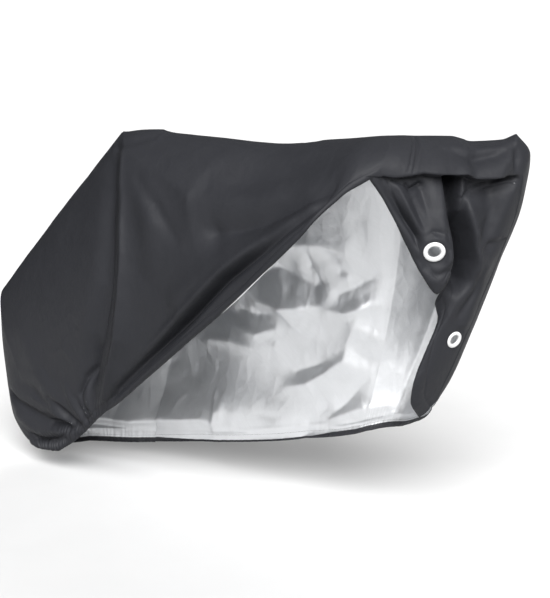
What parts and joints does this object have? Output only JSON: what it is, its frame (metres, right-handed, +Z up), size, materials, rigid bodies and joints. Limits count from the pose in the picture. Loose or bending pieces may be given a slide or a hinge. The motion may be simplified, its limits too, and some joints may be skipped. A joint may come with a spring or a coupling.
{
  "type": "bicycle cover",
  "caption": "Coated cloth bicycle cover draped half pulled up, with a gathered tail, a folded front band, a hanging hem flap and an eyelet ring on each front edge.",
  "frame": {"origin": "bottom centre of the bounding box", "axes": "+Z up, +X from the gathered tail to the nose, -Y the near side, where the hem is pulled up"},
  "size_m": [1.5374, 0.5468, 0.9915],
  "materials": {
    "black_cloth": "satin coated oxford weave, black outside and silver inside",
    "white_ring": "smooth white"
  },
  "bodies": {
    "root": {"tail_panel": "black_cloth", "near_side_panel": "black_cloth", "far_side_panel": "black_cloth", "front_panel": "black_cloth", "nose_gusset": "black_cloth", "near_eyelet_strip": "black_cloth", "nose_eyelet_strip": "black_cloth", "near_eyelet_ring": "white_ring", "nose_eyelet_ring": "white_ring"}
  },
  "joints": []
}
